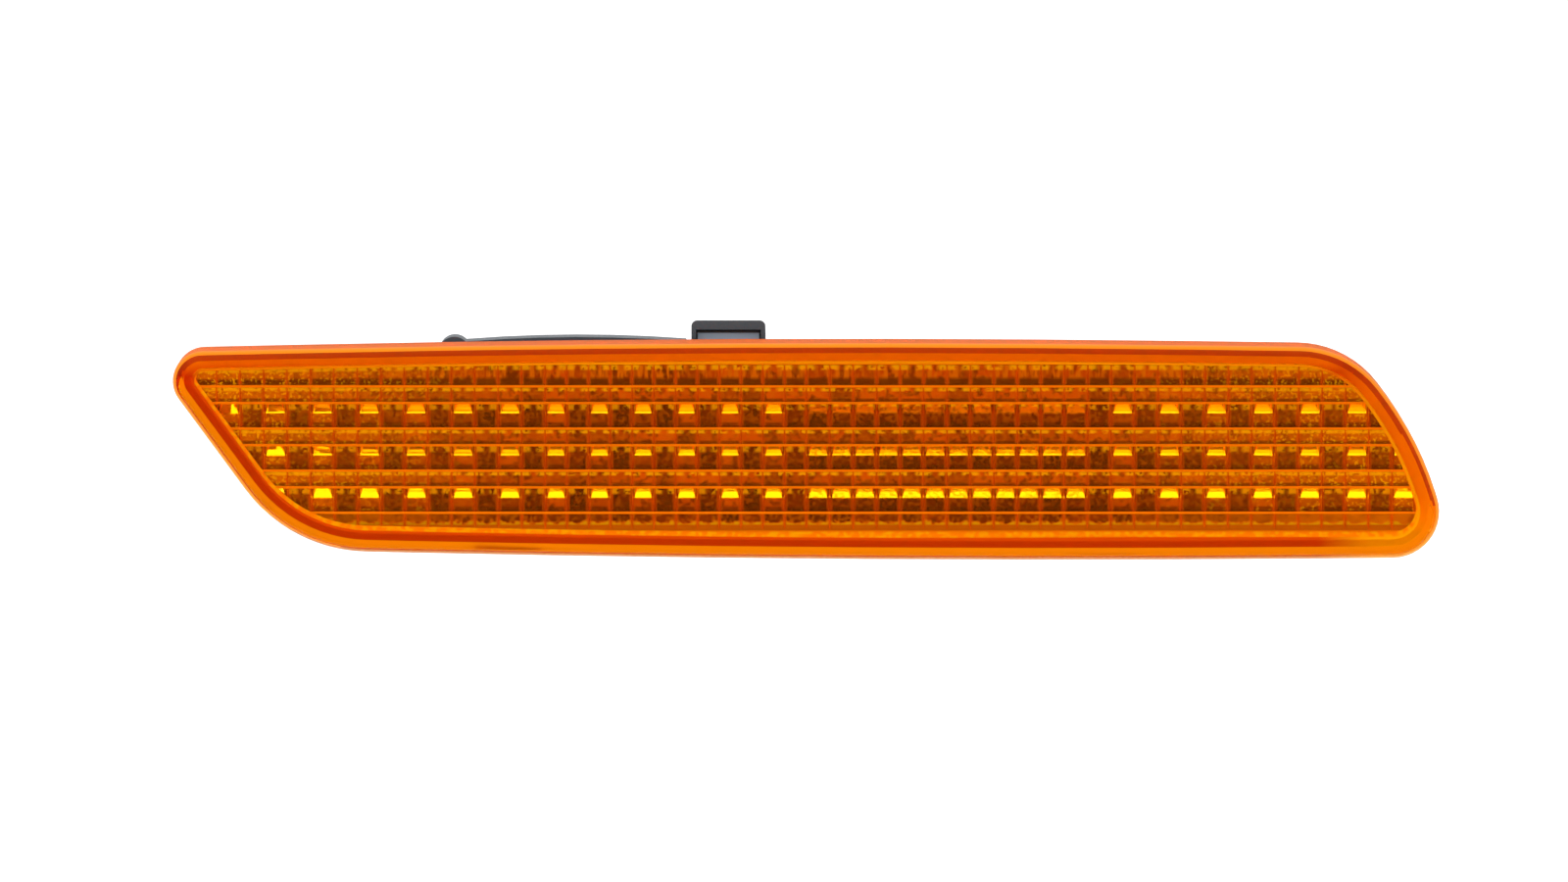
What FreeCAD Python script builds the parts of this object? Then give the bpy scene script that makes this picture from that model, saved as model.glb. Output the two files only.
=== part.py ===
import FreeCAD, Part
import math
import os

from FreeCAD import Vector

# Amber side light for a car bumper: a long moulded lens on a black housing,
# with a metallised reflector and a wedge bulb in a twist-in holder behind it.
# Millimetres. X runs along the length, Z is up and the lens faces -Y.
# The face of the flange that lies on the bumper skin is the plane y = 0.

# Driving sizes of the lens
LENS_LENGTH = 190.0
LENS_HEIGHT = 32.55
LENS_DEPTH = 5.9
FACE_THICKNESS = 2.8
LENS_WALL = 2.8
SKIRT_WALL = 1.5
SKIRT_LAP = 1.2
LENS_EDGE_RADIUS = 1.6

# Corners of the lens outline: how far each sharp corner lies past the end of
# the lens, how far it lies above or below the top or bottom, and its radius
TOP_LEFT = (4.3, -1.42, 4.55)
TOP_CROWN = (-10.0, 0.5, 3900.0)
TOP_RIGHT = (-13.67, -0.67, 15.5)
RIGHT_BULGE = (-3.35, -13.76, 50.0)
BOTTOM_RIGHT = (2.65, -0.15, 7.0)
BOTTOM_CROWN = (9.0, 0.67, 4400.0)
BOTTOM_LEFT = (-17.45, -1.25, 23.0)
LEAST_RADIUS = 0.6

# Optics on the inner face: rows of blocks, some with a bright upper facet
FIELD_INSET = 3.5
FIELD_SHIFT = 0.42
OPTIC_BASE = 0.2
COLUMN_PITCH = 3.52
NARROW_PITCH = 3.27
NARROW_COLUMNS = 12
CENTRE_COLUMNS = 12
COLUMN_DRAFT = 0.28
UPPER_EDGE_ROW = 3.46
PLAIN_ROW = 2.52
PRISM_ROW = 3.84
LOWER_EDGE_ROW = 2.85
ROW_PAIRS = 3
PLAIN_RISE = 0.8
PRISM_RISE = 1.6
ROW_SLOPE = 0.18
ROW_LAND = 0.36
EDGE_SLOPE = 0.8
FACET_DROP = 1.55
FACET_TOP_MARGIN = 0.55
FACET_FOOT_MARGIN = 0.35

# Flange of the housing, inside the skirt of the lens
FLANGE_THICKNESS = 2.4
SKIRT_CLEARANCE = 0.1
SEAT_CLEARANCE = 0.05

# Housing tub behind the flange
TUB_DEPTH = 25.0
TUB_INSET = 3.4
TUB_TAPER = 1.1
TUB_WALL = 1.8
TUB_CHAMFER = 1.6
COLLAR_RADIUS = 12.4
COLLAR_LENGTH = 5.0
RIB_THICKNESS = 1.4
RIB_HEIGHT = 1.5
RIB_LENGTH = 16.0
RIB_PLACES = (-66.0, -44.0, -22.0, 62.0)
VENT_X = -55.0
VENT_RADIUS = 2.4
VENT_BORE = 1.2
VENT_LENGTH = 5.0

# Snap latch on the roof of the tub
LATCH_X = -11.75
LATCH_WIDTH = 11.2
LATCH_FRONT = 3.4
LATCH_TOP = 18.6
LATCH_THICKNESS = 1.4
LATCH_ROOT_START = 17.0
LATCH_ROOT_END = 21.5
LATCH_FALL = 2.0
LATCH_CORNER = 0.9
CHEEK_WIDTH = 0.7
CHEEK_LENGTH = 6.0
CHEEK_DROP = 2.4
PAD_GAP = 0.25
PAD_START = 5.0
PAD_THICKNESS = 1.6
PAD_TOP = 16.85

# Bowed spring arm on the roof of the tub
ARM_CREST_X = -34.4
ARM_CREST_Z = 15.95
ARM_RADIUS = 218.0
ARM_THICKNESS = 1.2
ARM_FRONT = 4.5
ARM_WIDTH = 4.5
ARM_ROOT_GAP = 0.8
ARM_ROOT_LENGTH = 2.4
BEAD_X = -53.2
BEAD_RADIUS = 2.4
BEAD_TOP = 16.0
BEAD_HEIGHT = 2.2

# Fixed hooks under the tub
HOOK_PLACES = (-45.0, 45.0)
HOOK_WIDTH = 10.0
HOOK_FRONT = 3.0
HOOK_LENGTH = 3.2
HOOK_REACH = 1.9

# Reflector
REFLECTOR_WALL = 1.1
REFLECTOR_FLANGE = 1.2
REFLECTOR_GAP = 0.3
REFLECTOR_BACK_GAP = 3.3
REFLECTOR_TAPER = 2.2
REFLECTOR_HOLE = 6.0

# Bayonet between the housing and the bulb holder
HOLE_RADIUS = 7.6
PLUG_CLEARANCE = 0.2
LUG_RADIUS = 8.9
LUG_ANGLE = 36.0
LUG_LENGTH = 3.4
LUG_COUNT = 3
NOTCH_CLEARANCE = 0.3
NOTCH_ANGLE = 44.0
UNLOCK_ANGLE = 45.0
LUG_PLAY = 0.15

# Bulb holder
PLUG_REACH = 4.9
SEAL_THICKNESS = 1.6
SEAL_INNER = 9.6
SEAL_OUTER = 11.0
HOLDER_FLANGE_RADIUS = 12.0
HOLDER_FLANGE = 2.2
GRIP_COUNT = 12
GRIP_RADIUS = 0.9
GRIP_DEPTH = 0.7
SLOT_WIDTH = 10.4
SLOT_HEIGHT = 5.6
SLOT_DEPTH = 9.0
WEB_THICKNESS = 3.0
SHROUD_WIDTH = 15.0
SHROUD_HEIGHT = 10.4
SHROUD_WALL = 1.5
SHROUD_DEPTH = 15.0
SHROUD_CORNER = 1.2
CATCH_WIDTH = 4.0
CATCH_HEIGHT = 1.2
CATCH_LENGTH = 3.6
CATCH_SETBACK = 4.0

# Contacts
CONTACT_X = 2.6
CONTACT_WIDTH = 2.8
CONTACT_THICKNESS = 0.6
CONTACT_LEAD_IN = 1.6
BLADE_LENGTH = 9.0

# Wedge bulb
BULB_LENGTH = 26.8
BULB_RADIUS = 5.0
BULB_NECK_RADIUS = 4.2
BULB_WALL = 0.5
DOME_STEPS = 2
BASE_WIDTH = 9.5
BASE_THICKNESS = 2.2
BULB_STANDOFF = 0.3
WIRE_RADIUS = 0.25
WIRE_X = 2.6
FOLD_LENGTH = 6.0
FILAMENT_RADIUS = 0.3
FILAMENT_BACK = 7.0

# Places worked out from the sizes above
weld_y = -FLANGE_THICKNESS
reflector_y = weld_y - REFLECTOR_FLANGE
seat_y = reflector_y - SEAT_CLEARANCE
skirt_y = weld_y + SKIRT_LAP
front_y = seat_y - LENS_DEPTH
face_y = front_y + FACE_THICKNESS
flange_inset = SKIRT_WALL + SKIRT_CLEARANCE
wall_back_y = TUB_DEPTH
wall_front_y = TUB_DEPTH - TUB_WALL
plug_front_y = wall_front_y - PLUG_REACH
reflector_back_y = plug_front_y - REFLECTOR_BACK_GAP
bulb_x = CENTRE_COLUMNS * COLUMN_PITCH / 2
overlap = 0.5


def unit(a, b):
    length = math.hypot(b[0] - a[0], b[1] - a[1])
    return ((b[0] - a[0]) / length, (b[1] - a[1]) / length)


def sharp_corners():
    half = LENS_LENGTH / 2
    rise = LENS_HEIGHT / 2
    return [
        (-half - TOP_LEFT[0], rise + TOP_LEFT[1], TOP_LEFT[2]),
        (TOP_CROWN[0], rise + TOP_CROWN[1], TOP_CROWN[2]),
        (half + TOP_RIGHT[0], rise + TOP_RIGHT[1], TOP_RIGHT[2]),
        (half + RIGHT_BULGE[0], rise + RIGHT_BULGE[1], RIGHT_BULGE[2]),
        (half + BOTTOM_RIGHT[0], -rise - BOTTOM_RIGHT[1], BOTTOM_RIGHT[2]),
        (BOTTOM_CROWN[0], -rise - BOTTOM_CROWN[1], BOTTOM_CROWN[2]),
        (-half - BOTTOM_LEFT[0], -rise - BOTTOM_LEFT[1], BOTTOM_LEFT[2]),
    ]


def outline(inset, y):
    """The lens outline moved inward by inset, as a closed wire of lines and arcs at depth y."""
    corners = sharp_corners()
    count = len(corners)
    ahead = [unit(corners[i], corners[(i + 1) % count]) for i in range(count)]
    points = []
    for i in range(count):
        before = ahead[i - 1]
        after = ahead[i]
        cross = before[0] * after[1] - before[1] * after[0]
        dot = before[0] * after[0] + before[1] * after[1]
        turn = math.atan2(-cross, dot)
        inward = (after[0] - before[0], after[1] - before[1])
        size = math.hypot(inward[0], inward[1])
        reach = inset / math.cos(turn / 2)
        x = corners[i][0] + inward[0] / size * reach
        z = corners[i][1] + inward[1] / size * reach
        radius = max(corners[i][2] - inset, LEAST_RADIUS)
        points.append((x, z, turn, radius))
    trim = [p[3] * math.tan(p[2] / 2) for p in points]
    room = []
    for i in range(count):
        a = points[i]
        b = points[(i + 1) % count]
        length = math.hypot(b[0] - a[0], b[1] - a[1])
        room.append(0.98 * length / (trim[i] + trim[(i + 1) % count]))
    starts = []
    middles = []
    ends = []
    for i in range(count):
        x, z, turn, radius = points[i]
        share = min(1.0, room[i - 1], room[i])
        before = ahead[i - 1]
        after = ahead[i]
        back = trim[i] * share
        inward = unit((0, 0), (after[0] - before[0], after[1] - before[1]))
        depth = radius * share * (1 / math.cos(turn / 2) - 1)
        starts.append(Vector(x - back * before[0], y, z - back * before[1]))
        middles.append(Vector(x + depth * inward[0], y, z + depth * inward[1]))
        ends.append(Vector(x + back * after[0], y, z + back * after[1]))
    edges = []
    for i in range(count):
        edges.append(Part.Arc(starts[i], middles[i], ends[i]).toShape())
        edges.append(Part.makeLine(ends[i], starts[(i + 1) % count]))
    return Part.Wire(edges)


def prism(inset, y0, y1):
    return Part.Face(outline(inset, y0)).extrude(Vector(0, y1 - y0, 0))


def tapered(sections):
    return Part.makeLoft([outline(inset, y) for inset, y in sections], True, True)


def box(x0, x1, y0, y1, z0, z1):
    return Part.makeBox(x1 - x0, y1 - y0, z1 - z0, Vector(x0, y0, z0))


def side_plate(points, x0, x1):
    """A profile drawn in Y and Z, carried along X."""
    path = [Vector(x0, y, z) for y, z in points]
    return Part.Face(Part.makePolygon(path + path[:1])).extrude(Vector(x1 - x0, 0, 0))


def rod(radius, x, z, y0, y1):
    return Part.makeCylinder(radius, y1 - y0, Vector(x, y0, z), Vector(0, 1, 0))


def front_edges(shape, y):
    return [e for e in shape.Edges if all(abs(v.Y - y) < 1e-4 for v in e.Vertexes)]


# Lens optics

def column_edges():
    """The lines between columns and the columns that carry a bright facet."""
    lines = [0.0]
    facets = []
    reach = LENS_LENGTH / 2 + COLUMN_PITCH
    for i in range(CENTRE_COLUMNS):
        facets.append((lines[-1], lines[-1] + COLUMN_PITCH))
        lines.append(lines[-1] + COLUMN_PITCH)
    bright = False
    while lines[-1] < reach:
        if bright:
            facets.append((lines[-1], lines[-1] + COLUMN_PITCH))
        bright = not bright
        lines.append(lines[-1] + COLUMN_PITCH)
    bright = False
    step = 0
    while lines[0] > -reach:
        pitch = NARROW_PITCH if step < NARROW_COLUMNS else COLUMN_PITCH
        if bright:
            facets.append((lines[0] - pitch, lines[0]))
        bright = not bright
        step += 1
        lines.insert(0, lines[0] - pitch)
    return lines, facets


def row_table():
    """Rows from the top down: height, rise, upper slope, lower slope, and whether faceted."""
    rows = [(UPPER_EDGE_ROW, PLAIN_RISE, ROW_SLOPE, ROW_SLOPE, False)]
    for i in range(ROW_PAIRS):
        rows.append((PLAIN_ROW, PLAIN_RISE, ROW_SLOPE, ROW_SLOPE, False))
        rows.append((PRISM_ROW, PRISM_RISE, ROW_SLOPE, ROW_SLOPE, True))
    rows.append((LOWER_EDGE_ROW, PLAIN_RISE, ROW_SLOPE, EDGE_SLOPE, False))
    return rows


def facet_notches(facets, tip, high):
    """The notches that leave a sloping facet, wider at its foot, at the top of some blocks of a row."""
    foot = high - FACET_DROP
    blanks = []
    for left, right in facets:
        corners = [
            Vector(left + FACET_TOP_MARGIN, tip - FACET_DROP, high),
            Vector(right - FACET_TOP_MARGIN, tip - FACET_DROP, high),
            Vector(right - FACET_FOOT_MARGIN, tip - FACET_DROP, foot),
            Vector(left + FACET_FOOT_MARGIN, tip - FACET_DROP, foot),
        ]
        face = Part.Face(Part.makePolygon(corners + corners[:1]))
        blanks.append(face.extrude(Vector(0, FACET_DROP + overlap, 0)))
    slope = [(tip - FACET_DROP, high), (tip + overlap, high), (tip + overlap, foot), (tip, foot)]
    wedge = side_plate(slope, -LENS_LENGTH, LENS_LENGTH)
    return wedge.common(Part.makeCompound(blanks))


def optic_field():
    lines, facets = column_edges()
    rows = row_table()
    base = face_y + OPTIC_BASE
    tip = base + PRISM_RISE
    top = sum(r[0] for r in rows) / 2 + FIELD_SHIFT
    bottom = top - sum(r[0] for r in rows)
    comb = [Vector(lines[0], face_y - overlap, bottom)]
    for left, right in zip(lines[:-1], lines[1:]):
        comb.append(Vector(left, base, bottom))
        comb.append(Vector(left + COLUMN_DRAFT, tip, bottom))
        comb.append(Vector(right - COLUMN_DRAFT, tip, bottom))
    comb.append(Vector(lines[-1], base, bottom))
    comb.append(Vector(lines[-1], face_y - overlap, bottom))
    columns = Part.Face(Part.makePolygon(comb + comb[:1])).extrude(Vector(0, 0, top - bottom))
    profile = [(face_y - overlap, top), (base, top)]
    cutters = []
    z = top
    for height, rise, upper, lower, faceted in rows:
        high = z - ROW_LAND / 2
        low = z - height + ROW_LAND / 2
        profile.append((base, high))
        profile.append((base + rise, high - upper))
        profile.append((base + rise, low + lower))
        profile.append((base, low))
        if faceted:
            cutters.append(facet_notches(facets, tip, high))
        z -= height
    profile.append((base, bottom))
    profile.append((face_y - overlap, bottom))
    bars = side_plate(profile, lines[0], lines[-1])
    area = prism(FIELD_INSET, face_y - overlap, tip + overlap)
    area.translate(Vector(0, 0, FIELD_SHIFT))
    return columns.common(bars).common(area).cut(Part.makeCompound(cutters))


def make_lens():
    body = prism(0, front_y, skirt_y)
    body = body.makeFillet(LENS_EDGE_RADIUS, front_edges(body, front_y))
    cavity = prism(LENS_WALL, face_y, seat_y + overlap)
    rebate = prism(SKIRT_WALL, seat_y, skirt_y + overlap)
    return body.cut(cavity).cut(rebate).fuse(optic_field()).removeSplitter()


# Housing

def sector(radius, start, sweep, y0, y1):
    wedge = Part.makeCylinder(radius, y1 - y0, Vector(0, 0, 0), Vector(0, 0, 1), sweep)
    wedge.rotate(Vector(0, 0, 0), Vector(0, 0, 1), start)
    wedge.rotate(Vector(0, 0, 0), Vector(1, 0, 0), 90)
    wedge.translate(Vector(bulb_x, y1, 0))
    return wedge


def make_latch():
    x0 = LATCH_X - LATCH_WIDTH / 2
    x1 = LATCH_X + LATCH_WIDTH / 2
    root_top = LATCH_TOP - LATCH_FALL
    foot = LENS_HEIGHT / 2 - TUB_INSET - TUB_WALL
    plate = side_plate(
        [
            (LATCH_FRONT, LATCH_TOP),
            (LATCH_ROOT_START, root_top),
            (LATCH_ROOT_END, root_top - LATCH_THICKNESS / 2),
            (LATCH_ROOT_END, foot),
            (LATCH_ROOT_START, foot),
            (LATCH_ROOT_START, root_top - LATCH_THICKNESS),
            (LATCH_FRONT, LATCH_TOP - LATCH_THICKNESS),
        ],
        x0,
        x1,
    )
    tops = []
    for e in plate.Edges:
        ends = e.Vertexes
        if abs(ends[0].X - ends[1].X) < 1e-6 and max(v.Z for v in ends) > LATCH_TOP - 1e-6:
            if abs(ends[0].Y - ends[1].Y) > 1.0:
                tops.append(e)
    plate = plate.makeFillet(LATCH_CORNER, tops)
    shape = plate
    lip_under = LATCH_TOP - LATCH_THICKNESS
    fall = LATCH_FALL * CHEEK_LENGTH / (LATCH_ROOT_START - LATCH_FRONT)
    cheek = [
        (LATCH_FRONT, lip_under + LATCH_THICKNESS / 3),
        (LATCH_FRONT + CHEEK_LENGTH, lip_under - fall + LATCH_THICKNESS / 3),
        (LATCH_FRONT + CHEEK_LENGTH, lip_under - fall - CHEEK_DROP / 2),
        (LATCH_FRONT, lip_under - CHEEK_DROP),
    ]
    shape = shape.fuse(side_plate(cheek, x0, x0 + CHEEK_WIDTH))
    shape = shape.fuse(side_plate(cheek, x1 - CHEEK_WIDTH, x1))
    side = CHEEK_WIDTH + PAD_GAP
    pad = box(x0 + side, x1 - side, PAD_START, PAD_START + PAD_THICKNESS, foot, PAD_TOP)
    return shape.fuse(pad)


def arm_height(x):
    return ARM_CREST_Z - ARM_RADIUS + math.sqrt(ARM_RADIUS ** 2 - (x - ARM_CREST_X) ** 2)


def make_arm():
    x1 = LATCH_X - LATCH_WIDTH / 2 - ARM_ROOT_GAP
    middle = (BEAD_X + x1) / 2
    y0 = ARM_FRONT
    upper = [Vector(x, y0, arm_height(x)) for x in (BEAD_X, middle, x1)]
    lower = [p - Vector(0, 0, ARM_THICKNESS) for p in upper]
    edges = [
        Part.Arc(upper[0], upper[1], upper[2]).toShape(),
        Part.makeLine(upper[2], lower[2]),
        Part.Arc(lower[2], lower[1], lower[0]).toShape(),
        Part.makeLine(lower[0], upper[0]),
    ]
    strip = Part.Face(Part.Wire(edges)).extrude(Vector(0, ARM_WIDTH, 0))
    foot = LENS_HEIGHT / 2 - TUB_INSET - TUB_WALL
    root = box(x1 - ARM_ROOT_LENGTH, x1, y0, y0 + ARM_WIDTH, foot, arm_height(x1) - ARM_THICKNESS / 2)
    bead = rod(BEAD_RADIUS, BEAD_X, BEAD_TOP - BEAD_RADIUS, y0, y0 + ARM_WIDTH)
    below = BEAD_TOP - BEAD_HEIGHT
    reach = 2 * BEAD_RADIUS
    bead = bead.common(box(BEAD_X - reach, BEAD_X + reach, y0, y0 + ARM_WIDTH, below, BEAD_TOP))
    return strip.fuse(root).fuse(bead)


def make_housing():
    back_inset = TUB_INSET + TUB_TAPER
    shape = tapered(
        [
            (TUB_INSET, weld_y),
            (TUB_INSET, 0),
            (back_inset, TUB_DEPTH - TUB_CHAMFER),
            (back_inset + TUB_CHAMFER, TUB_DEPTH),
        ]
    )
    shape = shape.fuse(rod(COLLAR_RADIUS, bulb_x, 0, TUB_DEPTH - COLLAR_LENGTH, TUB_DEPTH))
    shape = shape.fuse(prism(flange_inset, weld_y, 0))
    for x in RIB_PLACES:
        shape = shape.fuse(
            box(
                x - RIB_THICKNESS / 2,
                x + RIB_THICKNESS / 2,
                TUB_DEPTH - overlap,
                TUB_DEPTH + RIB_HEIGHT,
                -RIB_LENGTH / 2,
                RIB_LENGTH / 2,
            )
        )
    shape = shape.fuse(rod(VENT_RADIUS, VENT_X, 0, TUB_DEPTH - overlap, TUB_DEPTH + VENT_LENGTH))
    for x in HOOK_PLACES:
        floor = -LENS_HEIGHT / 2 + TUB_INSET
        hook = [
            (HOOK_FRONT, floor + TUB_WALL),
            (HOOK_FRONT, floor - HOOK_REACH),
            (HOOK_FRONT + HOOK_LENGTH / 2, floor - HOOK_REACH),
            (HOOK_FRONT + HOOK_LENGTH, floor + TUB_WALL),
        ]
        shape = shape.fuse(side_plate(hook, x - HOOK_WIDTH / 2, x + HOOK_WIDTH / 2))
    shape = shape.fuse(make_latch())
    shape = shape.fuse(make_arm())
    inside = TUB_INSET + TUB_WALL
    shape = shape.cut(
        tapered(
            [
                (inside, weld_y - overlap),
                (inside, 0),
                (back_inset + TUB_WALL, wall_front_y),
            ]
        )
    )
    shape = shape.cut(rod(VENT_BORE, VENT_X, 0, wall_front_y - overlap, TUB_DEPTH + VENT_LENGTH + overlap))
    shape = shape.cut(rod(HOLE_RADIUS, bulb_x, 0, wall_front_y - overlap, wall_back_y + overlap))
    for i in range(LUG_COUNT):
        centre = UNLOCK_ANGLE + i * 360 / LUG_COUNT
        notch = sector(
            LUG_RADIUS + NOTCH_CLEARANCE,
            centre - NOTCH_ANGLE / 2,
            NOTCH_ANGLE,
            wall_front_y - overlap,
            wall_back_y + overlap,
        )
        shape = shape.cut(notch)
    return shape.removeSplitter()


# Reflector

def make_reflector():
    seat = TUB_INSET + TUB_WALL
    skin = seat + REFLECTOR_GAP
    outer = tapered([(skin, reflector_y), (skin, weld_y), (skin + REFLECTOR_TAPER, reflector_back_y)])
    flange = prism(flange_inset, reflector_y, weld_y)
    inner = tapered(
        [
            (skin + REFLECTOR_WALL, reflector_y - overlap),
            (skin + REFLECTOR_WALL, weld_y),
            (skin + REFLECTOR_TAPER + REFLECTOR_WALL, reflector_back_y - REFLECTOR_WALL),
        ]
    )
    hole = rod(REFLECTOR_HOLE, bulb_x, 0, 0, reflector_back_y + overlap)
    return outer.fuse(flange).cut(inner).cut(hole).removeSplitter()


# Bulb holder with its seal and contacts

seal_front_y = wall_back_y
holder_flange_y = wall_back_y + SEAL_THICKNESS
slot_end_y = plug_front_y + SLOT_DEPTH
shroud_floor_y = slot_end_y + WEB_THICKNESS
shroud_end_y = shroud_floor_y + SHROUD_DEPTH
arm_inner_z = BASE_THICKNESS / 2 + WIRE_RADIUS


def make_contact(side):
    x0 = bulb_x + side * CONTACT_X - CONTACT_WIDTH / 2
    x1 = x0 + CONTACT_WIDTH
    bend_y = slot_end_y + WEB_THICKNESS / 2
    inner = min(side * arm_inner_z, side * (arm_inner_z + CONTACT_THICKNESS))
    low = min(-CONTACT_THICKNESS / 2, inner)
    high = max(CONTACT_THICKNESS / 2, inner + CONTACT_THICKNESS)
    shape = box(x0, x1, plug_front_y + CONTACT_LEAD_IN, bend_y, inner, inner + CONTACT_THICKNESS)
    shape = shape.fuse(box(x0, x1, bend_y - CONTACT_THICKNESS, bend_y, low, high))
    shape = shape.fuse(
        box(
            x0,
            x1,
            bend_y - CONTACT_THICKNESS,
            shroud_floor_y + BLADE_LENGTH,
            -CONTACT_THICKNESS / 2,
            CONTACT_THICKNESS / 2,
        )
    )
    return shape.removeSplitter()


def rounded_block(width, height, corner, y0, y1):
    block = box(bulb_x - width / 2, bulb_x + width / 2, y0, y1, -height / 2, height / 2)
    if corner <= 0:
        return block
    sides = []
    for e in block.Edges:
        if abs(e.Vertexes[0].Y - e.Vertexes[1].Y) > 1e-6:
            sides.append(e)
    return block.makeFillet(corner, sides)


def make_holder(contacts):
    shape = rod(HOLE_RADIUS - PLUG_CLEARANCE, bulb_x, 0, plug_front_y, holder_flange_y + overlap)
    lug_end = wall_front_y - LUG_PLAY
    for i in range(LUG_COUNT):
        start = i * 360 / LUG_COUNT - LUG_ANGLE / 2
        shape = shape.fuse(sector(LUG_RADIUS, start, LUG_ANGLE, lug_end - LUG_LENGTH, lug_end))
    flange = rod(HOLDER_FLANGE_RADIUS, bulb_x, 0, holder_flange_y, holder_flange_y + HOLDER_FLANGE)
    for i in range(GRIP_COUNT):
        angle = 2 * math.pi * i / GRIP_COUNT
        reach = HOLDER_FLANGE_RADIUS + GRIP_RADIUS - GRIP_DEPTH
        grip = rod(
            GRIP_RADIUS,
            bulb_x + reach * math.cos(angle),
            reach * math.sin(angle),
            holder_flange_y - overlap,
            holder_flange_y + HOLDER_FLANGE + overlap,
        )
        flange = flange.cut(grip)
    shape = shape.fuse(flange)
    shroud = rounded_block(SHROUD_WIDTH, SHROUD_HEIGHT, SHROUD_CORNER, holder_flange_y, shroud_end_y)
    shape = shape.fuse(shroud)
    catch_end = shroud_end_y - CATCH_SETBACK
    shape = shape.fuse(
        side_plate(
            [
                (catch_end - CATCH_LENGTH, SHROUD_HEIGHT / 2 - overlap),
                (catch_end - CATCH_LENGTH, SHROUD_HEIGHT / 2 + CATCH_HEIGHT),
                (catch_end - CATCH_LENGTH / 2, SHROUD_HEIGHT / 2 + CATCH_HEIGHT),
                (catch_end, SHROUD_HEIGHT / 2 - overlap),
            ],
            bulb_x - CATCH_WIDTH / 2,
            bulb_x + CATCH_WIDTH / 2,
        )
    )
    shape = shape.cut(rounded_block(SLOT_WIDTH, SLOT_HEIGHT, 0, plug_front_y - overlap, slot_end_y))
    shape = shape.cut(
        rounded_block(
            SHROUD_WIDTH - 2 * SHROUD_WALL,
            SHROUD_HEIGHT - 2 * SHROUD_WALL,
            0,
            shroud_floor_y,
            shroud_end_y + overlap,
        )
    )
    for contact in contacts:
        shape = shape.cut(contact)
    return shape.removeSplitter()


def make_seal():
    outer = rod(SEAL_OUTER, bulb_x, 0, seal_front_y, holder_flange_y)
    return outer.cut(rod(SEAL_INNER, bulb_x, 0, seal_front_y, holder_flange_y))


# Wedge bulb

bulb_tip_y = slot_end_y - BULB_LENGTH
base_front_y = plug_front_y - BULB_STANDOFF - overlap
base_end_y = slot_end_y - WIRE_RADIUS
filament_y = bulb_tip_y + FILAMENT_BACK


def turned(radius, neck, tip, end):
    """A tube about the bulb axis, from its tip back to its end, with cones for its round end and its neck."""
    path = [Vector(0, end, 0), Vector(0, tip, 0)]
    for i in range(1, DOME_STEPS + 1):
        angle = math.pi / 2 * i / DOME_STEPS
        path.append(Vector(radius * math.sin(angle), tip + radius - radius * math.cos(angle), 0))
    path.append(Vector(radius, end - 2 * (radius - neck), 0))
    path.append(Vector(neck, end, 0))
    shape = Part.Face(Part.makePolygon(path + path[:1])).revolve(Vector(0, 0, 0), Vector(0, 1, 0), 360)
    shape.translate(Vector(bulb_x, 0, 0))
    return shape


def make_wire(side):
    """A lead through the base, turned over its end and laid in a groove along its face."""
    x = bulb_x + side * WIRE_X
    fold_z = side * BASE_THICKNESS / 2
    shape = rod(WIRE_RADIUS, x, 0, filament_y, base_end_y)
    lead = Part.makeCylinder(WIRE_RADIUS, abs(fold_z), Vector(x, base_end_y, 0), Vector(0, 0, side))
    fold = rod(WIRE_RADIUS, x, fold_z, base_end_y - FOLD_LENGTH, base_end_y)
    return shape.fuse(lead).fuse(fold).removeSplitter()


def make_filament(wires):
    coil = Part.makeCylinder(
        FILAMENT_RADIUS,
        2 * WIRE_X,
        Vector(bulb_x - WIRE_X, filament_y + FILAMENT_RADIUS, 0),
        Vector(1, 0, 0),
    )
    for wire in wires:
        coil = coil.cut(wire)
    return max(coil.Solids, key=lambda s: s.Volume)


def make_glass(wires):
    end_y = base_front_y + overlap
    shape = turned(BULB_RADIUS, BULB_NECK_RADIUS, bulb_tip_y, end_y)
    inner_radius = BULB_RADIUS - BULB_WALL
    inner_neck = BULB_NECK_RADIUS - BULB_WALL
    shape = shape.cut(turned(inner_radius, inner_neck, bulb_tip_y + BULB_WALL, end_y - 2 * BULB_WALL))
    base = box(
        bulb_x - BASE_WIDTH / 2,
        bulb_x + BASE_WIDTH / 2,
        base_front_y,
        base_end_y,
        -BASE_THICKNESS / 2,
        BASE_THICKNESS / 2,
    )
    shape = shape.fuse(base)
    for wire in wires:
        shape = shape.cut(wire)
    return shape.removeSplitter()


def save(name, shape):
    shape.exportStep("parts/" + name + ".step")


os.makedirs("parts", exist_ok=True)
contact_live = make_contact(1)
contact_earth = make_contact(-1)
wire_live = make_wire(1)
wire_earth = make_wire(-1)
save("lens", make_lens())
save("housing", make_housing())
save("reflector", make_reflector())
save("bulb_holder", make_holder([contact_live, contact_earth]))
save("holder_seal", make_seal())
save("contact_live", contact_live)
save("contact_earth", contact_earth)
save("bulb_glass", make_glass([wire_live, wire_earth]))
save("bulb_filament", make_filament([wire_live, wire_earth]))
save("bulb_wire_live", wire_live)
save("bulb_wire_earth", wire_earth)
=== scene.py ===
import math
import random
from collections import namedtuple

import bpy
import numpy as np
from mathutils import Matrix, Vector
from mathutils.geometry import convex_hull_2d


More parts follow.
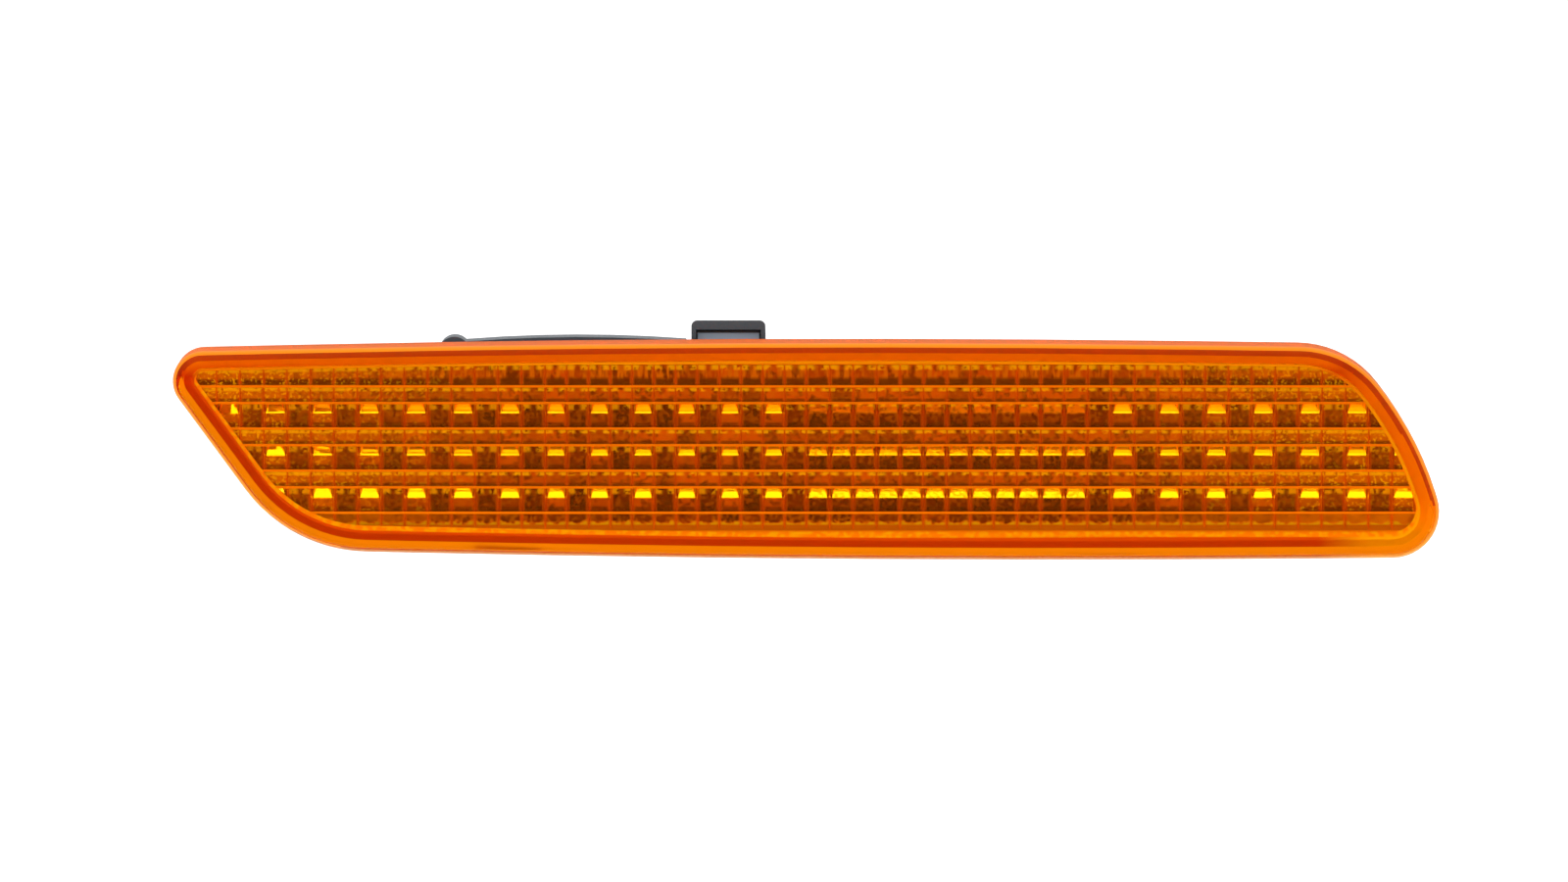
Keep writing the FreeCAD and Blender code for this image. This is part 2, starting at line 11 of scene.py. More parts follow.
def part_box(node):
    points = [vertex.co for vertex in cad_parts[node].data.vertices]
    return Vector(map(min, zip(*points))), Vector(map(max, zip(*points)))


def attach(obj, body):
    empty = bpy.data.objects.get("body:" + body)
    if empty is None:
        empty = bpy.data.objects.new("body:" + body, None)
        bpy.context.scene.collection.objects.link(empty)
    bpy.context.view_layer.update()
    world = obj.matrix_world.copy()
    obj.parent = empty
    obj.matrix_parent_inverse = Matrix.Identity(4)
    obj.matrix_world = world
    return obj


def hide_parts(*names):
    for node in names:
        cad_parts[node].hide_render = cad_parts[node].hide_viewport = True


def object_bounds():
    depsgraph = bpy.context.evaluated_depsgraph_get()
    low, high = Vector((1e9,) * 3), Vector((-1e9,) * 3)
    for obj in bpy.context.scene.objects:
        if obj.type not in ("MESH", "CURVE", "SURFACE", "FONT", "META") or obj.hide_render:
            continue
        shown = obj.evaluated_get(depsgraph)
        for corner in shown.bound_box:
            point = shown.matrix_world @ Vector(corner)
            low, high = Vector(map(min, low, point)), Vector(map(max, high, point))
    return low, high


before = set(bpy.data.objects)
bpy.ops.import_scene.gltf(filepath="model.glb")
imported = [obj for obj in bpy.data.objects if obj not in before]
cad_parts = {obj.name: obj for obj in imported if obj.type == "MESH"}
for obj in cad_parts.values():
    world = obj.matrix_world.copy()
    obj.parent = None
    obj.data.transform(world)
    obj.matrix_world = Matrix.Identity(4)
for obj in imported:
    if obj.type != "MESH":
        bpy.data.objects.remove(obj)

cad_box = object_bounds()

# The photograph's frame and where the lens lies in it, in pixels
PHOTO_WIDTH = 1600
PHOTO_HEIGHT = 900
LENS_LEFT = 180.0
LENS_RIGHT = 1465.5
ORIGIN_ROW = 454.2

# Camera: its angle above the lamp, distances in metres, and the width of its sensor in millimetres
ELEVATION = math.radians(6.0)
CAMERA_DISTANCE = 1.5
CLIP_START = 0.01
SENSOR_WIDTH = 36.0

# Faces of the lens that look straight back, from the front one to the rear one
FLAT_KINDS = ("border", "land", "plain", "window", "step", "skirt")

# How far a face has to look back, to the front, aslant, or up or down to count as such, as a part of 1
BACK_TURN = 0.99
FRONT_TURN = 0.2
SLOPE_TURN = 0.4
LEVEL_TURN = 0.5

# The rounded front edge: how far out its faces look where its lip begins, and how far up where its dark
# band begins, each as a part of 1
LIP_TURN = 0.69
BROW_TURN = 0.10

# Faces at the same depth count as one level, to this many decimals of a metre
DEPTH_DIGITS = 5

# How far in from its outline the outer side and the inner wall of the lens lie at most, in metres
SIDE_REACH = 0.0004
WALL_REACH = 0.0029

# Painted light: the rim is painted brighter above this height and right of this place, each with the length
# of its blend, in metres
BRIGHT_HEIGHT = 0.011
BRIGHT_HEIGHT_BLEND = 0.002
BRIGHT_RIGHT = 0.077
BRIGHT_RIGHT_BLEND = 0.008

# The field of blocks has a painted highlight along its edge, which starts at this distance from the outline
# of the lens, in metres
EDGE_INSET = 0.0032
EDGE_BLUR = 0.0001

# The first and the last row of blocks lie above and below these heights, in metres
TOP_ROW = 0.0097
BOTTOM_ROW = -0.0095

# The middle stretch, where every block has a facet, and the height above which those are dull, in metres
MIDDLE_START = 0.0
MIDDLE_END = 0.0423
DULL_HEIGHT = 0.003

# Towards both ends of the lens its blocks get more painted light and glints and less painted shade, from
# this place and over this length, in metres
SPARK_START = 0.045
SPARK_REACH = 0.04

# The dark windows have this share of that
WINDOW_SPARK = 0.35

# Each kind of face: its tint, the share that is clear, its roughness, how much its cells vary, its mottling
Look = namedtuple("Look", "tint clear rough busy mottle")
# The dark tints of brow, step, border, crown, hem and window are painted shade, the dark inside of the lamp
# seen through the lens; the yellow of facet and patchy is partly the floor's light seen through them and
# partly painted light
LENS_LOOK = {
    "front": Look((1.00, 0.97, 0.90), 1.00, 0.02, 0.0, 0.0),
    "lip": Look((1.00, 0.32, 0.004), 0.35, 0.45, 0.0, 0.0),
    "brow": Look((0.40, 0.075, 0.01), 0.90, 0.05, 0.0, 0.0),
    "chin": Look((1.00, 0.78, 0.030), 0.88, 0.10, 0.0, 0.0),
    "side": Look((1.00, 0.30, 0.01), 0.75, 0.70, 0.0, 0.0),
    "under": Look((1.00, 0.95, 0.70), 1.00, 0.05, 0.0, 0.0),
    "skirt": Look((1.00, 0.27, 0.004), 0.40, 0.30, 0.0, 0.0),
    "step": Look((0.65, 0.055, 0.001), 0.10, 0.30, 0.0, 0.0),
    "wall": Look((1.00, 0.80, 0.010), 0.10, 0.20, 0.0, 0.0),
    "sill": Look((1.00, 0.60, 0.30), 1.00, 0.05, 0.0, 0.0),
    "border": Look((0.70, 0.065, 0.001), 0.10, 0.20, 0.0, 0.0),
    "land": Look((1.00, 0.30, 0.004), 0.10, 0.20, 0.0, 0.0),
    "plain": Look((0.82, 0.140, 0.003), 0.35, 0.10, 0.8, 0.0),
    "crown": Look((0.66, 0.090, 0.003), 0.35, 0.10, 0.8, 0.0),
    "hem": Look((0.26, 0.026, 0.001), 0.40, 0.10, 0.8, 0.0),
    "window": Look((0.23, 0.027, 0.001), 0.45, 0.10, 0.8, 0.0),
    "pane": Look((0.85, 0.150, 0.002), 0.40, 0.10, 0.8, 0.0),
    "facet": Look((1.00, 0.90, 0.02), 0.85, 0.03, 0.0, 0.0),
    "patchy": Look((1.00, 0.80, 0.01), 0.85, 0.03, 0.0, 0.7),
    "dull": Look((1.00, 0.26, 0.004), 0.20, 0.10, 0.8, 0.5),
    "foot": Look((1.00, 0.42, 0.010), 0.55, 0.05, 0.0, 0.0),
    "flank": Look((1.00, 0.17, 0.004), 0.30, 0.20, 0.0, 0.0),
    "ledge": Look((1.00, 0.95, 0.80), 1.00, 0.02, 0.0, 0.0),
}

# Kinds of face that make up the rim, the bright wedges and the outside of the lens
RIM_KINDS = ("step", "border")
WEDGE_KINDS = ("facet", "patchy")
OUTER_KINDS = ("front", "lip", "brow", "chin", "side", "under")

# Cells that vary differ in tone by up to this share, at random from this seed
TONE_SPREAD = 0.6
TONE_SEED = 7

# The least size of a cell, in metres
LEAST_CELL = 1e-6

# Colours painted on the lens: amber and frame are tones of its own colour, glint, end light and bright are
# painted light, and shade is painted shade
AMBER = (1.00, 0.30, 0.005)
FRAME = (1.00, 0.20, 0.004)
GLINT = (1.00, 0.74, 0.006)
END_LIGHT = (1.00, 0.34, 0.004)
BRIGHT = (1.00, 0.55, 0.006)
SHADE = (0.12, 0.013, 0.001)

# The tint of the gloss on the outside and on the inside of the lens
OUTER_GLOSS = (0.30, 0.10, 0.01)
INNER_GLOSS = (1.00, 0.35, 0.03)

# The stuff of the lens: how it bends light, and its colour with depth
ACRYLIC_BEND = 1.49
DEPTH_COLOR = (0.995, 0.90, 0.0, 1.0)
DEPTH_DENSITY = 600.0

# Noise on the lens, in waves per metre, and its range over most of a surface
COARSE_NOISE = 800.0
FINE_NOISE = 1700.0
STREAK_NOISE = 1500.0
STREAK_STRETCH = (1.0, 1.0, 0.2)
SPOT_NOISE = 2300.0
RIPPLE_NOISE = 900.0
RIPPLE_DEPTH = 0.0003
RIPPLE_STRENGTH = 0.5
NOISE_DETAIL = 3.0
NOISE_LOW = 0.3
NOISE_HIGH = 0.7

# Masks by noise: nothing up to the first value, growing to the full strength, the third, at the second
GLEAM_MASK = (0.45, 0.60, 1.0)
SHADE_MASK = (0.50, 0.62, 0.9)
FLECK_MASK = (0.46, 0.62, 0.5)
STREAK_MASK = (0.46, 0.60, 1.0)
MOTTLE_MASK = (0.47, 0.60, 1.0)
CORNER_FLECK_MASK = (0.36, 0.46, 1.0)
SPOT_MASK = (0.54, 0.62, 1.0)

# Masks by the place in a cell, up from its foot or out from its middle, in the same way
CROWN_FOOT_MASK = (0.42, 0.22, 0.9)
HEM_AMBER_MASK = (0.26, 0.10, 0.9)
HEM_GLINT_MASK = (0.10, -0.04, 1.0)
FOOT_MASK = (0.20, 0.09, 0.9)
SIDES_MASK = (0.80, 0.95, 0.8)
TOP_MASK = (0.70, 0.82, 1.0)
CORNER_MASK = (0.15, 0.50, 1.0)
WING_MASK = (1.03, 1.13, 1.0)

# The painted light at the foot of the last row climbs towards the sides of a cell, and its edge is ragged
HEM_SLANT = 0.3
HEM_RAGGED = 0.15

# The bright wedges are painted narrower at the top, with darker orange corners: how much, and the share of
# clearness left beside them
WING_SLANT = 0.45
WING_CLEAR = 0.25

# At the ends of the lens this share of the painted shade in the cells is left, and the painted highlights
# on their corners are wider by this
END_SHADE = 0.3
END_CORNERS = 0.5

# Mottling takes away this share of the clearness
MOTTLE_DENSE = 0.8

# The panel under the lip of the latch, where light and shadow are painted, in metres
PANEL_X = -0.01175
PANEL_HALF = 0.0047
PANEL_Y = 0.005
PANEL_DEPTH = 0.0003
PANEL_TOP = 0.0165
PANEL_BLUR = 0.0001

# Colours of the housing, and of the painted light on that panel and the painted shadow above it
HOUSING_DARK = (0.036, 0.048, 0.060)
HOUSING_PALE = (0.052, 0.068, 0.084)
HOUSING_ROUGH = 0.45
PANEL_LIT = (0.46, 0.60, 0.74)
PANEL_SHADOW = (0.004, 0.005, 0.006)

# Holder and seal
HOLDER_DARK = (0.032, 0.032, 0.0344)
HOLDER_PALE = (0.052, 0.052, 0.0559)
HOLDER_ROUGH = 0.42
RUBBER_DARK = (0.016, 0.016, 0.016)
RUBBER_PALE = (0.026, 0.026, 0.026)
RUBBER_ROUGH = 0.75

# Grain of plastic and rubber: waves per metre, depth in metres, and how much it changes the roughness
CLOUD_NOISE = 60.0
GRAIN_NOISE = 2600.0
GRAIN_DEPTH = 0.00006
GRAIN_STRENGTH = 0.5
GRAIN_ROUGH = 0.08

# Metals: colour and roughness
FILM_COLOR = (0.22, 0.22, 0.22)
FILM_ROUGH = 0.3
BRASS_COLOR = (0.75, 0.6, 0.32)
BRASS_ROUGH = 0.3
WIRE_COLOR = (0.6, 0.6, 0.62)
WIRE_ROUGH = 0.35

# How metals vary: waves per metre, the darkest and palest share of the colour, the change in roughness
TARNISH_NOISE = 120.0
TARNISH_DARK = 0.85
TARNISH_PALE = 1.1
POLISH_NOISE = 700.0
POLISH_LESS = 0.05
POLISH_MORE = 0.08

# Bulb glass
GLASS_NOISE = 80.0
GLASS_DARK = (0.96, 0.97, 0.97)
GLASS_PALE = (1.0, 1.0, 1.0)
GLASS_BEND = 1.5

# Studio
FLOOR_DROP = 0.11
FLOOR_SIZE = 6.0
FLOOR_COLOR = (0.8, 0.8, 0.8, 1.0)
FLOOR_ROUGH = 0.9
FLOOR_GLOW = 0.6
WHITE = (1.0, 1.0, 1.0, 1.0)
WORLD_FILL = 0.9

# Soft boxes: name, place, width and height in metres, and brightness, where 1 shows as white in a mirror
LIGHTS = (
    ("top_box", (0.0, -0.25, 0.6), 0.9, 0.5, 1.2),
    ("front_box", (-0.5, -1.0, 0.7), 0.8, 0.6, 1.9),
    ("low_box", (0.0, -0.02, -0.11), 0.5, 0.25, 1.3),
)

# Sockets of a mix node for colours
MIX_FIRST = 6
MIX_SECOND = 7
MIX_RESULT = 2


# Camera, lights and floor

def add_camera():
    """The photograph's view: the lens as wide and in the same place as there."""
    lens_low, lens_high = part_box("lens")
    metres_per_pixel = (lens_high[0] - lens_low[0]) / (LENS_RIGHT - LENS_LEFT)
    lens_middle = (lens_low[0] + lens_high[0]) / 2
    aside = (PHOTO_WIDTH / 2 - (LENS_LEFT + LENS_RIGHT) / 2) * metres_per_pixel
    above = (ORIGIN_ROW - PHOTO_HEIGHT / 2) * metres_per_pixel
    up = Vector((0, math.sin(ELEVATION), math.cos(ELEVATION)))
    back = Vector((0, -math.cos(ELEVATION), math.sin(ELEVATION)))
    aim = Vector((lens_middle + aside, 0, 0)) + above * up
    data = bpy.data.cameras.new("camera")
    data.sensor_width = SENSOR_WIDTH
    data.lens = SENSOR_WIDTH * CAMERA_DISTANCE / (PHOTO_WIDTH * metres_per_pixel)
    data.clip_start = CLIP_START
    camera = bpy.data.objects.new("camera", data)
    camera.location = aim + CAMERA_DISTANCE * back
    camera.rotation_euler = (-back).to_track_quat("-Z", "Y").to_euler()
    bpy.context.scene.collection.objects.link(camera)
    bpy.context.scene.camera = camera


def add_light(name, place, width, height, brightness):
    """A soft box that looks at the lamp."""
    data = bpy.data.lights.new(name, "AREA")
    data.shape = "RECTANGLE"
    data.size = width
    data.size_y = height
    data.energy = brightness * math.pi * width * height
    light = bpy.data.objects.new(name, data)
    light.location = place
    light.rotation_euler = (-Vector(place)).to_track_quat("-Z", "Y").to_euler()
    light.visible_camera = False
    bpy.context.scene.collection.objects.link(light)


def white_ray(nodes, links):
    """1 for rays from the camera, from gloss and through clear pieces, and 0 for the rest."""
    path = nodes.new("ShaderNodeLightPath")
    either = nodes.new("ShaderNodeMath")
    either.operation = "MAXIMUM"
    links.new(path.outputs["Is Camera Ray"], either.inputs[0])
    links.new(path.outputs["Is Glossy Ray"], either.inputs[1])
    any_of = nodes.new("ShaderNodeMath")
    any_of.operation = "MAXIMUM"
    links.new(either.outputs["Value"], any_of.inputs[0])
    links.new(path.outputs["Is Transmission Ray"], any_of.inputs[1])
    return any_of.outputs["Value"]


def add_floor():
    """A pale floor that looks white and keeps the lamp's shadow."""
    level = cad_box[0][2] - FLOOR_DROP
    size = FLOOR_SIZE
    mesh = bpy.data.meshes.new("floor")
    corners = [(-size, -size, level), (size, -size, level), (size, size, level), (-size, size, level)]
    mesh.from_pydata(corners, [], [(0, 1, 2, 3)])
    floor = bpy.data.objects.new("floor", mesh)
    bpy.context.scene.collection.objects.link(floor)
    material = bpy.data.materials.new("floor")
    material.use_nodes = True
    nodes = material.node_tree.nodes
    links = material.node_tree.links
    shader = nodes["Principled BSDF"]
    shader.inputs["Base Color"].default_value = FLOOR_COLOR
    shader.inputs["Roughness"].default_value = FLOOR_ROUGH
    shader.inputs["Specular IOR Level"].default_value = 0.0
    shader.inputs["Emission Color"].default_value = WHITE
    glow = nodes.new("ShaderNodeMath")
    glow.operation = "MULTIPLY"
    links.new(white_ray(nodes, links), glow.inputs[0])
    glow.inputs[1].default_value = FLOOR_GLOW
    links.new(glow.outputs["Value"], shader.inputs["Emission Strength"])
    floor.data.materials.append(material)


def set_world():
    """Plain white to the eye, and a softer fill on the lamp."""
    world = bpy.data.worlds.new("world")
    world.use_nodes = True
    nodes = world.node_tree.nodes
    links = world.node_tree.links
    level = nodes.new("ShaderNodeMapRange")
    level.inputs["To Min"].default_value = WORLD_FILL
    level.inputs["To Max"].default_value = 1.0
    links.new(white_ray(nodes, links), level.inputs["Value"])
    background = nodes["Background"]
    background.inputs["Color"].default_value = WHITE
    links.new(level.outputs["Result"], background.inputs["Strength"])
    bpy.context.scene.world = world
    bpy.context.scene.view_settings.view_transform = "Standard"


# Nodes

class Nodes:
    """A new material and short ways to add nodes to it."""

    def __init__(self, name):
        self.material = bpy.data.materials.new(name)
        self.material.use_nodes = True
        self.tree = self.material.node_tree
        self.shader = self.tree.nodes["Principled BSDF"]
        self.output = self.tree.nodes["Material Output"]

    def add(self, kind, **settings):
        node = self.tree.nodes.new(kind)
        for key, value in settings.items():
            setattr(node, key, value)
        return node

    def link(self, source, target):
        self.tree.links.new(source, target)

    def shade(self, name, source):
        """Links a source to the named input of the shader."""
        self.link(source, self.shader.inputs[name])

    def painted(self, name, output="Fac"):
        return self.add("ShaderNodeAttribute", attribute_name=name).outputs[output]

    def place(self):
        return self.add("ShaderNodeTexCoord").outputs["Object"]

    def split(self, vector):
        node = self.add("ShaderNodeSeparateXYZ")
        self.link(vector, node.inputs["Vector"])
        return node.outputs

    def noise(self, scale, stretch=(1.0, 1.0, 1.0)):
        node = self.add("ShaderNodeTexNoise")
        node.inputs["Scale"].default_value = scale
        node.inputs["Detail"].default_value = NOISE_DETAIL
        mapping = self.add("ShaderNodeMapping")
        mapping.inputs["Scale"].default_value = stretch
        self.link(self.place(), mapping.inputs["Vector"])
        self.link(mapping.outputs["Vector"], node.inputs["Vector"])
        return node.outputs["Fac"]

    def remap(self, value, low, high, to_low, to_high):
        node = self.add("ShaderNodeMapRange")
        node.inputs["From Min"].default_value = low
        node.inputs["From Max"].default_value = high
        node.inputs["To Min"].default_value = to_low
        node.inputs["To Max"].default_value = to_high
        self.link(value, node.inputs["Value"])
        return node.outputs["Result"]

    def mask(self, value, limits):
        """Grows from 0 at the first limit to the strength, the third, at the second."""
        start, full, strength = limits
        return self.remap(value, start, full, 0.0, strength)

    def math(self, operation, a, b=None):
        """One sum; b is a socket or a number."""
        node = self.add("ShaderNodeMath", operation=operation)
        self.link(a, node.inputs[0])
        if isinstance(b, float):
            node.inputs[1].default_value = b
        elif b is not None:
            self.link(b, node.inputs[1])
        return node.outputs["Value"]

    def absolute(self, value):
        return self.math("ABSOLUTE", value)

    def times(self, a, b):
        return self.math("MULTIPLY", a, b)

    def plus(self, a, b):
        return self.math("ADD", a, b)

    def minus(self, a, b):
        return self.math("SUBTRACT", a, b)

    def most(self, a, b):
        return self.math("MAXIMUM", a, b)

    def near(self, value, middle, reach):
        """1 where the value lies within reach of the middle, and 0 elsewhere."""
        node = self.add("ShaderNodeMath", operation="COMPARE")
        self.link(value, node.inputs[0])
        node.inputs[1].default_value = middle
        node.inputs[2].default_value = reach
        return node.outputs["Value"]

    def mix(self, share, a, b):
        """A colour between a and b, each a colour or a socket."""
        node = self.add("ShaderNodeMix", data_type="RGBA")
        self.link(share, node.inputs["Factor"])
        for value, socket in ((a, node.inputs[MIX_FIRST]), (b, node.inputs[MIX_SECOND])):
            if isinstance(value, tuple):
                socket.default_value = (*value, 1)
            else:
                self.link(value, socket)
        return node.outputs[MIX_RESULT]

    def bump(self, height, distance, strength):
        node = self.add("ShaderNodeBump")
        node.inputs["Distance"].default_value = distance
        node.inputs["Strength"].default_value = strength
        self.link(height, node.inputs["Height"])
        self.shade("Normal", node.outputs["Normal"])


# Faces of the lens

def inset_of(mesh):
    """How far in from the outline of the lens each of its vertices lies."""
    flat = np.array([(v.co.x, v.co.z) for v in mesh.vertices])
    ring = flat[convex_hull_2d([tuple(p) for p in flat])]
    along = np.roll(ring, -1, axis=0) - ring
    length = np.hypot(along[:, 0], along[:, 1])
    ring, along, length = ring[length > 0], along[length > 0], length[length > 0]
    away = flat[:, None, :] - ring[None, :, :]
    across = along[None, :, 0] * away[:, :, 1] - along[None, :, 1] * away[:, :, 0]
    return np.abs(across / length).min(axis=1)


def front_kind(normal):
    """Parts of the front: its flat face and the bands of its rounded edge."""
    if normal.z < -LIP_TURN:
        return "chin"
    if math.hypot(normal.x, normal.z) > LIP_TURN:
        return "lip"
    return "brow" if normal.z > BROW_TURN else "front"


def flat_kind(level, height):
    """Faces that look straight back, with the first and the last row apart from the other plain rows."""
    kind = FLAT_KINDS[level]
    if kind == "plain" and height > TOP_ROW:
        return "crown"
    if kind == "plain" and height < BOTTOM_ROW:
        return "hem"
    return kind


def facet_kind(place):
    if not MIDDLE_START < place.x < MIDDLE_END:
        return "facet"
    return "dull" if place.z > DULL_HEIGHT else "patchy"


def block_kind(normal, place):
    """Slopes and sides of the blocks."""
    if normal.y > SLOPE_TURN and normal.z > SLOPE_TURN:
        return facet_kind(place)
    if normal.y > SLOPE_TURN and normal.z < -SLOPE_TURN:
        return "foot"
    return "ledge" if abs(normal.z) > abs(normal.x) else "flank"


def lens_kinds(mesh):
    """Names every face of the lens by the way that it looks and by how deep it lies."""
    inset = inset_of(mesh)
    backs = [p for p in mesh.polygons if p.normal.y > BACK_TURN]
    levels = sorted({round(p.center.y, DEPTH_DIGITS) for p in backs})
    kinds = []
    for p in mesh.polygons:
        reach = max(inset[v] for v in p.vertices)
        if p.normal.y < -FRONT_TURN:
            kinds.append(front_kind(p.normal))
        elif p.normal.y > BACK_TURN:
            kinds.append(flat_kind(levels.index(round(p.center.y, DEPTH_DIGITS)), p.center.z))
        elif reach < SIDE_REACH:
            kinds.append("under" if p.normal.z < -LEVEL_TURN else "side")
        elif reach < WALL_REACH:
            kinds.append("sill" if p.normal.z > LEVEL_TURN else "wall")
        else:
            kinds.append(block_kind(p.normal, p.center))
    return kinds


def patches(mesh):
    """A number for every face that is the same for the faces of one flat patch."""
    owner = list(range(len(mesh.vertices)))

    def root(i):
        while owner[i] != i:
            owner[i] = owner[owner[i]]
            i = owner[i]
        return i

    for p in mesh.polygons:
        for v in p.vertices[1:]:
            owner[root(v)] = root(p.vertices[0])
    return [root(p.vertices[0]) for p in mesh.polygons]


def cell_places(mesh, owners):
    """Maps the lens from 0 to 1 across and up every patch, and gives the corners of the patches."""
    low = {}
    high = {}
    for p, owner in zip(mesh.polygons, owners):
        for v in p.vertices:
            spot = np.array((mesh.vertices[v].co.x, mesh.vertices[v].co.z))
            low[owner] = np.minimum(low.get(owner, spot), spot)
            high[owner] = np.maximum(high.get(owner, spot), spot)
    places = mesh.uv_layers.new(name="cell")
    for p, owner in zip(mesh.polygons, owners):
        size = np.maximum(high[owner] - low[owner], LEAST_CELL)
        for corner in p.loop_indices:
            co = mesh.vertices[mesh.loops[corner].vertex_index].co
            places.data[corner].uv = (np.array((co.x, co.z)) - low[owner]) / size
    return low, high


def lit_windows(mesh, kinds, owners, low, high):
    """The windows outside the middle stretch that lie under a facet."""
    spots = [p.center for p, kind in zip(mesh.polygons, kinds) if kind == "facet"]
    lit = set()
    for window in {owner for owner, kind in zip(owners, kinds) if kind == "window"}:
        left, bottom = low[window]
        right, top = high[window]
        if any(left < spot.x < right and bottom < spot.z < top for spot in spots):
            lit.add(window)
    return lit


def cell_tints(owners, looks):
    """The tint of every face, with a tone of its own for each patch that varies."""
    dice = random.Random(TONE_SEED)
    tones = {}
    tints = []
    for patch, look in zip(owners, looks):
        if patch not in tones:
            tones[patch] = dice.uniform(-1.0, 1.0)
        gain = 1.0 + TONE_SPREAD * tones[patch] * look.busy
        tints.append([min(1.0, gain * c) for c in look.tint] + [1.0])
    return tints


def spark_of(place, kind):
    """How much painted light and painted glints a face gets, from 0 in the middle of the lens to 1 at its
    ends.
    """
    share = min(1.0, max(0.0, (abs(place.x) - SPARK_START) / SPARK_REACH))
    return WINDOW_SPARK * share if kind == "window" else share


def paint(mesh, name, values, kind="FLOAT", field="value", domain="FACE"):
    layer = mesh.attributes.new(name, kind, domain)
    layer.data.foreach_set(field, np.array(values, dtype=np.float32).ravel())


def add_lens():
    """The lens of the frame again, with the look of every face painted on it."""
    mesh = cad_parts["lens"].data.copy()
    lens = bpy.data.objects.new("amber_lens", mesh)
    bpy.context.scene.collection.objects.link(lens)
    kinds = lens_kinds(mesh)
    owners = patches(mesh)
    low, high = cell_places(mesh, owners)
    lit = lit_windows(mesh, kinds, owners, low, high)
    kinds = ["pane" if owner in lit else kind for kind, owner in zip(kinds, owners)]
    looks = [LENS_LOOK[kind] for kind in kinds]
    paint(mesh, "tint", cell_tints(owners, looks), kind="FLOAT_COLOR", field="color")
    paint(mesh, "clear", [look.clear for look in looks])
    paint(mesh, "rough", [look.rough for look in looks])
    paint(mesh, "busy", [look.busy for look in looks])
    paint(mesh, "mottle", [look.mottle for look in looks])
    paint(mesh, "spark", [spark_of(p.center, kind) for p, kind in zip(mesh.polygons, kinds)])
    paint(mesh, "border", [kind == "border" for kind in kinds])
    paint(mesh, "rim", [kind in RIM_KINDS for kind in kinds])
    paint(mesh, "crown", [kind == "crown" for kind in kinds])
    paint(mesh, "hem", [kind == "hem" for kind in kinds])
    paint(mesh, "wedge", [kind in WEDGE_KINDS for kind in kinds])
    paint(mesh, "outer", [kind in OUTER_KINDS for kind in kinds])
    paint(mesh, "inset", inset_of(mesh), domain="POINT")
    mesh.materials.clear()
    mesh.materials.append(amber_plastic())
    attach(lens, "lamp_body")
    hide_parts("lens")


# Amber plastic

def rim_color(n, color, fine):
    """Painted light on the top and the right end of the rim, and a painted highlight along the edge of the
    field of blocks.
    """
    place = n.split(n.place())
    high = n.remap(place["Z"], BRIGHT_HEIGHT, BRIGHT_HEIGHT + BRIGHT_HEIGHT_BLEND, 0.0, 1.0)
    right = n.remap(place["X"], BRIGHT_RIGHT, BRIGHT_RIGHT + BRIGHT_RIGHT_BLEND, 0.0, 1.0)
    # Painted light on the top and the right end of the rim
    color = n.mix(n.times(n.most(high, right), n.painted("rim")), color, BRIGHT)
    # Painted highlight along the edge of the field of blocks
    edge = n.remap(n.painted("inset"), EDGE_INSET - EDGE_BLUR, EDGE_INSET + EDGE_BLUR, 0.0, 1.0)
    gleam = n.mix(n.mask(fine, GLEAM_MASK), AMBER, BRIGHT)
    return n.mix(n.times(edge, n.painted("border")), color, gleam)


def cell_color(n, color, cell, across, fine):
    """Painted light towards the ends, painted shade in the cells as dark clouds and dark feet, amber
    flecks, their sides, painted shade low in the first row and painted light at the foot of the last row.
    """
    busy = n.painted("busy")
    crown = n.painted("crown")
    hem = n.painted("hem")
    ends = n.painted("spark")
    # Painted light towards the ends of the lens
    color = n.mix(n.times(ends, busy), color, END_LIGHT)
    # Painted shade: dark clouds in the cells, fewer towards the ends
    painted_shade = n.times(n.mask(n.noise(COARSE_NOISE), SHADE_MASK), busy)
    painted_shade = n.times(painted_shade, n.remap(ends, 0.0, 1.0, 1.0, END_SHADE))
    color = n.mix(painted_shade, color, SHADE)
    color = n.mix(n.times(n.mask(fine, FLECK_MASK), busy), color, AMBER)
    streaks = n.mask(n.noise(STREAK_NOISE, STREAK_STRETCH), STREAK_MASK)
    color = n.mix(n.times(streaks, crown), color, AMBER)
    # Painted shade on the lower part of the cells of the first row
    color = n.mix(n.times(n.mask(cell["Y"], CROWN_FOOT_MASK), crown), color, SHADE)
    rise = n.minus(cell["Y"], n.times(across, HEM_SLANT))
    rise = n.minus(rise, n.remap(fine, NOISE_LOW, NOISE_HIGH, -HEM_RAGGED, HEM_RAGGED))
    # Painted light at the foot of the last row
    color = n.mix(n.times(n.mask(rise, HEM_AMBER_MASK), hem), color, AMBER)
    color = n.mix(n.times(n.mask(rise, HEM_GLINT_MASK), hem), color, GLINT)
    # Painted shade at the feet of the other cells
    color = n.mix(n.times(n.mask(cell["Y"], FOOT_MASK), n.minus(busy, hem)), color, SHADE)
    return n.mix(n.times(n.mask(across, SIDES_MASK), busy), color, FRAME)


def glints(n, cell, across, fine):
    """Painted highlights: bright upper corners of the cells, and bright spots at the ends of the lens."""
    ends = n.painted("spark")
    corners = n.mask(n.plus(across, n.times(ends, END_CORNERS)), CORNER_MASK)
    corners = n.times(corners, n.mask(cell["Y"], TOP_MASK))
    corners = n.times(corners, n.mask(fine, CORNER_FLECK_MASK))
    spots = n.times(n.mask(n.noise(SPOT_NOISE), SPOT_MASK), ends)
    return n.times(n.most(corners, spots), n.minus(n.painted("busy"), n.painted("hem")))


def wings(n, cell, across):
    """The upper corners of the facets, painted darker orange so that the partly painted bright wedge is
    narrower at the top.
    """
    slant = n.plus(across, n.times(cell["Y"], WING_SLANT))
    return n.times(n.mask(slant, WING_MASK), n.painted("wedge"))


